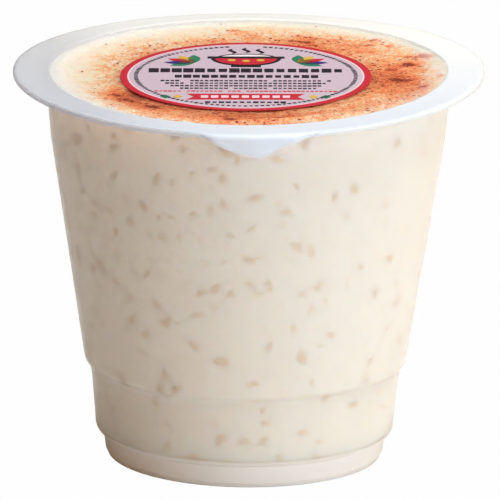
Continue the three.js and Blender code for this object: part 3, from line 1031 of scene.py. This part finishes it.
def print_line_tree():
    """Prints a row of short blocks of uneven width along a path, with gaps now and then."""
    tree, given = new_tree("printed_line", Pitch="Float", Height="Float", Fill="Float", Gaps="Float",
                           Seed="Int", Material="Material")
    path = put(tree, "GeometryNodeMeshToCurve", {0: given["Geometry"]}).outputs[0]
    row = put(tree, "GeometryNodeCurveToPoints", {"Curve": path, "Length": given["Pitch"]}, mode="LENGTH")
    index = put(tree, "GeometryNodeInputIndex").outputs[0]
    wander = noise(tree, joined(tree, index, given["Seed"]), 0.37, 1)
    gap = maths(tree, "LESS_THAN", wander, given["Gaps"])
    kept = put(tree, "GeometryNodeDeleteGeometry", {"Geometry": row.outputs["Points"], "Selection": gap},
               domain="POINT").outputs[0]
    block = put(tree, "GeometryNodeMeshCube", {"Size": (1.0, 1.0, 1.0)}).outputs[0]
    tall = chance(tree, 0.72, 1.0, given["Seed"])
    wide = chance(tree, times(tree, given["Fill"], 0.7), given["Fill"], given["Seed"])
    size = joined(tree, times(tree, tall, given["Height"]), 2 * INK, times(tree, wide, given["Pitch"]))
    return end_tree(tree, copies(tree, kept, block, row.outputs["Rotation"], size), given["Material"])


PRINTED_LINE = print_line_tree()


def printed_line(name, points, pitch, height, seed, ink_name="black_ink", gaps=0.0, fill=0.9):
    """A printed row along points in the label's own millimetres."""
    path = bpy.data.meshes.new(name)
    spots = [(*on_label(u, v), label_high.z) for u, v in points]
    path.from_pydata(spots, [(i, i + 1) for i in range(len(spots) - 1)], [])
    return grown(name, path, PRINTED_LINE, Pitch=pitch * MM, Height=height * MM, Fill=fill, Gaps=gaps,
                 Seed=seed, Material=INKS[ink_name])


work = bmesh.new()
label_disc(work)
print_bowl(work, 0, 12.4)
print_sprig(work, -1)
print_sprig(work, 1)
print_ribbon(work, -14.2)
label_mesh = bpy.data.meshes.new("label_printed")
work.to_mesh(label_mesh)
work.free()
for material in INKS.values():
    label_mesh.materials.append(material)
label = bpy.data.objects.new("label_printed", label_mesh)
bpy.context.collection.objects.link(label)

rows = [
    printed_line("bold_one", [(-17.2, 3.9), (17.2, 3.9)], 2.1, 3.1, 3, gaps=0.3, fill=0.94),
    printed_line("bold_two", [(-12.6, -0.2), (12.8, -0.2)], 1.6, 2.3, 5, gaps=0.3, fill=0.94),
    printed_line("note_red", [(-16.6, -10.4), (16.6, -10.4)], 0.85, 0.8, 9, "red_ink", 0.3),
    printed_line("foot_row", [(-7.0, -18.0), (7.0, -18.0)], 1.2, 1.3, 12, gaps=0.3),
    printed_line("beads", oval(0, 0, 20.5, 20.5, 100, 440, steps=90), 1.05, 0.85, 40, fill=0.7),
]
for number in range(4):
    half = 15.5 - 0.9 * number
    row = [(-half, -3.2 - 1.75 * number), (half, -3.2 - 1.75 * number)]
    rows.append(printed_line(f"fine_{number}", row, 0.9, 1.05, 20 + number, gaps=0.36))
with bpy.context.temp_override(active_object=label, object=label, selected_editable_objects=[label, *rows]):
    bpy.ops.object.join()
label.data.update()
out_of_true(label.data)
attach(label, "root")
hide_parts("label")


# --- Studio ----------------------------------------------------------------------------------------
# A white table top and backdrop, a big cool soft light low in front on the right, one overhead, small
# ones behind on both sides, warm bounced light from the front, and a long lens that looks down a little.
TABLE_HALF = 60
NEARLY_WHITE = (0.99, 0.99, 0.99, 1)
MIDDLE = Vector((0, 0, 36 * MM))      # of the cup


def table_finish():
    """A white table top, seen as pure white; plain and shaded under the foot."""
    material, tree, where = new_material("table")
    outside = maths(tree, "GREATER_THAN", vector_maths(tree, "LENGTH", where, output="Value"), RING_RADIUS)
    seen = put(tree, "ShaderNodeLightPath").outputs["Is Camera Ray"]
    table = put(tree, "ShaderNodeBsdfDiffuse", {"Color": (0.79, 0.79, 0.79, 1)}).outputs[0]
    white = put(tree, "ShaderNodeEmission", {"Color": NEARLY_WHITE}).outputs[0]
    end_material(tree, mix_shaders(tree, times(tree, outside, seen), table, white))
    return material


table = bpy.data.meshes.new("table")
corners = box_points(-TABLE_HALF, -TABLE_HALF, 2 * TABLE_HALF, 2 * TABLE_HALF)
table.from_pydata([(x, y, 0) for x, y in corners], [], [(0, 1, 2, 3)])
table.materials.append(table_finish())
table_top = bpy.data.objects.new("table_top", table)
table_top.location.z = -0.02 * MM
bpy.context.collection.objects.link(table_top)


def direction(azimuth, elevation):
    """Out from the middle of the cup; azimuth 0 is the front and 90 the right, in degrees."""
    a, e = math.radians(azimuth), math.radians(elevation)
    return Vector((math.sin(a) * math.cos(e), -math.cos(a) * math.cos(e), math.sin(e)))


def soft_light(name, azimuth, elevation, distance, size, power, colour):
    """A square lamp that faces the middle of the cup."""
    lamp = bpy.data.lights.new(name, "AREA")
    lamp.size, lamp.energy, lamp.color = size, power, colour
    light = bpy.data.objects.new(name, lamp)
    out = direction(azimuth, elevation)
    light.location = MIDDLE + out * distance
    light.rotation_euler = out.to_track_quat("Z", "Y").to_euler()
    bpy.context.collection.objects.link(light)


soft_light("key_right", 45, 3, 0.5, 0.5, 3.15, (0.68, 0.85, 1.0))
soft_light("top_soft", 60, 78, 0.5, 0.4, 3.35, (0.82, 0.92, 0.98))
soft_light("back_right", 120, 35, 0.45, 0.3, 0.75, (1.0, 0.58, 0.10))
soft_light("back_left", 222, 12, 0.6, 0.3, 0.42, (1.0, 0.94, 0.88))

# The room gives a warm, weak light from the front and none from behind, where the film would mirror it.
world = bpy.data.worlds.new("studio")
world.use_nodes = True
bpy.context.scene.world = world
room = world.node_tree
room.nodes.clear()
aim = split(room, put(room, "ShaderNodeTexCoord").outputs["Generated"])
to_front = remap(room, aim["Y"], 0.3, -0.3, course="SMOOTHSTEP")
below_top = remap(room, aim["Z"], 0.95, 0.75, course="SMOOTHSTEP")
warmth = times(room, to_front, below_top, 0.42)
warm = put(room, "ShaderNodeBackground", {"Color": (1.0, 0.565, 0.185, 1), "Strength": warmth}).outputs[0]
white = put(room, "ShaderNodeBackground", {"Color": NEARLY_WHITE, "Strength": 1.0}).outputs[0]
seen = put(room, "ShaderNodeLightPath").outputs["Is Camera Ray"]
put(room, "ShaderNodeOutputWorld", {"Surface": mix_shaders(room, seen, warm, white)})

# The lens looks down by 15 degrees, from far off; the cup stands a little left of the render's middle.
CAMERA_AWAY = 3.1
VIEW_ELEVATION = 15.163
VIEW_WIDTH = 93.53 * MM           # what the render's 500 pixels span at the middle of the cup
VIEW_ROLL = math.radians(0.736)
PIXEL = VIEW_WIDTH / 500
MIDDLE_LEFT, MIDDLE_DOWN = 3.6 * PIXEL, 14.7 * PIXEL
SENSOR = 36                       # its width, in the lens's own millimetres

lens = bpy.data.cameras.new("camera")
lens.sensor_width = SENSOR
lens.lens = SENSOR * CAMERA_AWAY / VIEW_WIDTH
lens.clip_end = 100
camera = bpy.data.objects.new("camera", lens)
back = direction(0, VIEW_ELEVATION)
right = Vector((1, 0, 0))
up = back.cross(right)
camera_right = right * math.cos(VIEW_ROLL) + up * math.sin(VIEW_ROLL)
camera_up = back.cross(camera_right)
stand = MIDDLE + back * CAMERA_AWAY + camera_right * MIDDLE_LEFT + camera_up * MIDDLE_DOWN
turn = Matrix((camera_right, camera_up, back)).transposed()
camera.matrix_world = Matrix.Translation(stand) @ turn.to_4x4()
bpy.context.collection.objects.link(camera)
bpy.context.scene.camera = camera
bpy.context.scene.view_settings.view_transform = "Standard"
